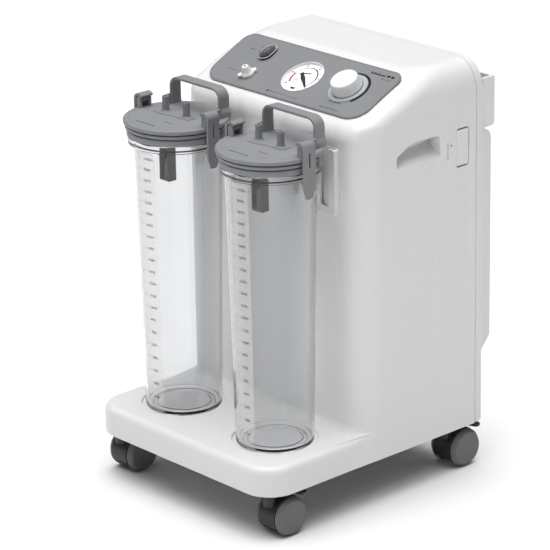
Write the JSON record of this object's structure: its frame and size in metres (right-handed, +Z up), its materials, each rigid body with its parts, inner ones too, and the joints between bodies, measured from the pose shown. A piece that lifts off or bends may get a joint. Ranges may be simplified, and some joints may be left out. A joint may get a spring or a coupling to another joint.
{
  "type": "suction pump",
  "caption": "Mobile medical suction pump: white casing on swivel casters, clear lidded collection jars in front, sloped panel with gauge and knob.",
  "frame": {"origin": "on the floor, below the centre of the whole object's box", "axes": "+Z up, +X to the right across the width seen from the front, the jars and the control panel face -Y"},
  "size_m": [0.334, 0.397, 0.542],
  "materials": {
    "casing_white": "satin moulded white plastic",
    "panel_grey": "satin printed overlay",
    "knob_white": "smooth white plastic",
    "ring_blue_grey": "smooth pale blue-grey plastic",
    "gauge_white": "smooth white plastic",
    "dial_face": "matt white paint with printed scale",
    "needle_black": "matt black paint",
    "lens_clear": "clear polished plastic",
    "boot_clear": "clear soft plastic",
    "switch_black": "black moulded plastic",
    "steel": "plated steel",
    "pump_metal": "cast and machined aluminium",
    "fan_black": "black moulded plastic",
    "filter_body": "translucent moulded plastic",
    "hose_soft": "soft translucent tube",
    "jar_clear": "clear polished plastic",
    "lid_grey": "satin grey moulded plastic",
    "gasket_rubber": "matt black rubber",
    "cage_grey": "dark grey moulded plastic",
    "float_pale": "pale foam-filled plastic",
    "caster_grey": "satin grey nylon",
    "wheel_grey": "grey nylon and thermoplastic tread"
  },
  "bodies": {
    "casing": {"front_shell": "casing_white", "rear_cover": "casing_white", "base_plate": "steel", "control_panel": "panel_grey", "tube_holster": "casing_white", "rear_handle": "casing_white", "rear_bay_cover": "casing_white", "power_inlet": "switch_black", "gauge_case": "gauge_white", "gauge_dial": "dial_face", "gauge_lens": "lens_clear", "regulator_valve": "steel", "knob_scale_ring": "ring_blue_grey", "switch_frame": "switch_black", "switch_boot": "boot_clear", "suction_port": "knob_white", "pump_motor": "pump_metal", "pump_head": "pump_metal", "vacuum_filter": "filter_body", "vacuum_hose": "hose_soft"},
    "gauge_needle": {"gauge_needle": "needle_black"},
    "regulator_knob": {"regulator_knob": "knob_white"},
    "switch_rocker": {"switch_rocker": "switch_black"},
    "filter_hatch": {"filter_hatch": "casing_white"},
    "cooling_fan": {"cooling_fan": "fan_black"},
    "jar_left": {"jar_left": "jar_clear", "lid_left": "lid_grey", "lid_gasket_left": "gasket_rubber", "float_cage_left": "cage_grey"},
    "latch_outer_left": {"latch_outer_left": "lid_grey"},
    "latch_inner_left": {"latch_inner_left": "lid_grey"},
    "float_left": {"float_left": "float_pale"},
    "jar_right": {"jar_right": "jar_clear", "lid_right": "lid_grey", "lid_gasket_right": "gasket_rubber", "float_cage_right": "cage_grey"},
    "latch_outer_right": {"latch_outer_right": "lid_grey"},
    "latch_inner_right": {"latch_inner_right": "lid_grey"},
    "float_right": {"float_right": "float_pale"},
    "caster_front_left": {"caster_hood_front_left": "caster_grey", "caster_axle_front_left": "steel"},
    "wheel_front_left_a": {"wheel_front_left_a": "wheel_grey"},
    "wheel_front_left_b": {"wheel_front_left_b": "wheel_grey"},
    "caster_brake_front_left": {"caster_brake_front_left": "caster_grey"},
    "caster_front_right": {"caster_hood_front_right": "caster_grey", "caster_axle_front_right": "steel"},
    "wheel_front_right_a": {"wheel_front_right_a": "wheel_grey"},
    "wheel_front_right_b": {"wheel_front_right_b": "wheel_grey"},
    "caster_brake_front_right": {"caster_brake_front_right": "caster_grey"},
    "caster_rear_left": {"caster_hood_rear_left": "caster_grey", "caster_axle_rear_left": "steel"},
    "wheel_rear_left_a": {"wheel_rear_left_a": "wheel_grey"},
    "wheel_rear_left_b": {"wheel_rear_left_b": "wheel_grey"},
    "caster_brake_rear_left": {"caster_brake_rear_left": "caster_grey"},
    "caster_rear_right": {"caster_hood_rear_right": "caster_grey", "caster_axle_rear_right": "steel"},
    "wheel_rear_right_a": {"wheel_rear_right_a": "wheel_grey"},
    "wheel_rear_right_b": {"wheel_rear_right_b": "wheel_grey"},
    "caster_brake_rear_right": {"caster_brake_rear_right": "caster_grey"}
  },
  "joints": [
    {"name": "gauge_needle_turn", "type": "hinge", "parent": "casing", "child": "gauge_needle", "pos_m": [0.0032, 0.02036, 0.51618], "axis": [0, -0.4384, 0.8988], "range_deg": [0, 260], "stiffness_Nm_per_rad": 0.0001},
    {"name": "regulator_knob_turn", "type": "hinge", "parent": "casing", "child": "regulator_knob", "pos_m": [0.0822, 0.02224, 0.5171], "axis": [0, -0.4384, 0.8988], "range_deg": [-280, 0]},
    {"name": "switch_rocker_tilt", "type": "hinge", "parent": "casing", "child": "switch_rocker", "pos_m": [-0.081, 0.03977, 0.52565], "axis": [1, 0, 0], "range_deg": [-14, 0]},
    {"name": "filter_hatch_swing", "type": "hinge", "parent": "casing", "child": "filter_hatch", "pos_m": [0.16575, 0.14625, 0.43625], "axis": [0, 0, 1], "range_deg": [0, 100]},
    {"name": "cooling_fan_spin", "type": "hinge", "parent": "casing", "child": "cooling_fan", "pos_m": [-0.025, 0.0635, 0.128], "axis": [1, 0, 0], "continuous": true},
    {"name": "jar_lift_left", "type": "slide", "parent": "casing", "child": "jar_left", "axis": [0, 0, 1], "range_m": [0, 0.15]},
    {"name": "latch_outer_left_swing", "type": "hinge", "parent": "jar_left", "child": "latch_outer_left", "pos_m": [-0.1475, -0.1125, 0.487], "axis": [0, 1, 0], "range_deg": [0, 70]},
    {"name": "latch_inner_left_swing", "type": "hinge", "parent": "jar_left", "child": "latch_inner_left", "pos_m": [-0.0245, -0.1125, 0.487], "axis": [0, -1, 0], "range_deg": [0, 12]},
    {"name": "float_left_rise", "type": "slide", "parent": "jar_left", "child": "float_left", "axis": [0, 0, 1], "range_m": [0, 0.035]},
    {"name": "jar_lift_right", "type": "slide", "parent": "casing", "child": "jar_right", "axis": [0, 0, 1], "range_m": [0, 0.15]},
    {"name": "latch_outer_right_swing", "type": "hinge", "parent": "jar_right", "child": "latch_outer_right", "pos_m": [0.1475, -0.1125, 0.487], "axis": [0, -1, 0], "range_deg": [0, 70]},
    {"name": "latch_inner_right_swing", "type": "hinge", "parent": "jar_right", "child": "latch_inner_right", "pos_m": [0.0245, -0.1125, 0.487], "axis": [0, 1, 0], "range_deg": [0, 12]},
    {"name": "float_right_rise", "type": "slide", "parent": "jar_right", "child": "float_right", "axis": [0, 0, 1], "range_m": [0, 0.035]},
    {"name": "caster_swivel_front_left", "type": "hinge", "parent": "casing", "child": "caster_front_left", "pos_m": [-0.1405, -0.1727, 0.055], "axis": [0, 0, 1], "continuous": true},
    {"name": "wheel_front_left_a_roll", "type": "hinge", "parent": "caster_front_left", "child": "wheel_front_left_a", "pos_m": [-0.1405, -0.1537, 0.025], "axis": [1, 0, 0], "continuous": true},
    {"name": "wheel_front_left_b_roll", "type": "hinge", "parent": "caster_front_left", "child": "wheel_front_left_b", "pos_m": [-0.1405, -0.1537, 0.025], "axis": [1, 0, 0], "continuous": true},
    {"name": "caster_brake_front_left_press", "type": "hinge", "parent": "caster_front_left", "child": "caster_brake_front_left", "pos_m": [-0.1405, -0.1477, 0.0525], "axis": [1, 0, 0], "range_deg": [-12, 0]},
    {"name": "caster_swivel_front_right", "type": "hinge", "parent": "casing", "child": "caster_front_right", "pos_m": [0.1405, -0.1727, 0.055], "axis": [0, 0, 1], "continuous": true},
    {"name": "wheel_front_right_a_roll", "type": "hinge", "parent": "caster_front_right", "child": "wheel_front_right_a", "pos_m": [0.1405, -0.1537, 0.025], "axis": [1, 0, 0], "continuous": true},
    {"name": "wheel_front_right_b_roll", "type": "hinge", "parent": "caster_front_right", "child": "wheel_front_right_b", "pos_m": [0.1405, -0.1537, 0.025], "axis": [1, 0, 0], "continuous": true},
    {"name": "caster_brake_front_right_press", "type": "hinge", "parent": "caster_front_right", "child": "caster_brake_front_right", "pos_m": [0.1405, -0.1477, 0.0525], "axis": [1, 0, 0], "range_deg": [-12, 0]},
    {"name": "caster_swivel_rear_left", "type": "hinge", "parent": "casing", "child": "caster_rear_left", "pos_m": [-0.1405, 0.1332, 0.055], "axis": [0, 0, 1], "continuous": true},
    {"name": "wheel_rear_left_a_roll", "type": "hinge", "parent": "caster_rear_left", "child": "wheel_rear_left_a", "pos_m": [-0.1405, 0.1522, 0.025], "axis": [1, 0, 0], "continuous": true},
    {"name": "wheel_rear_left_b_roll", "type": "hinge", "parent": "caster_rear_left", "child": "wheel_rear_left_b", "pos_m": [-0.1405, 0.1522, 0.025], "axis": [1, 0, 0], "continuous": true},
    {"name": "caster_brake_rear_left_press", "type": "hinge", "parent": "caster_rear_left", "child": "caster_brake_rear_left", "pos_m": [-0.1405, 0.1582, 0.0525], "axis": [1, 0, 0], "range_deg": [-12, 0]},
    {"name": "caster_swivel_rear_right", "type": "hinge", "parent": "casing", "child": "caster_rear_right", "pos_m": [0.1405, 0.1332, 0.055], "axis": [0, 0, 1], "continuous": true},
    {"name": "wheel_rear_right_a_roll", "type": "hinge", "parent": "caster_rear_right", "child": "wheel_rear_right_a", "pos_m": [0.1405, 0.1522, 0.025], "axis": [1, 0, 0], "continuous": true},
    {"name": "wheel_rear_right_b_roll", "type": "hinge", "parent": "caster_rear_right", "child": "wheel_rear_right_b", "pos_m": [0.1405, 0.1522, 0.025], "axis": [1, 0, 0], "continuous": true},
    {"name": "caster_brake_rear_right_press", "type": "hinge", "parent": "caster_rear_right", "child": "caster_brake_rear_right", "pos_m": [0.1405, 0.1582, 0.0525], "axis": [1, 0, 0], "range_deg": [-12, 0]}
  ]
}
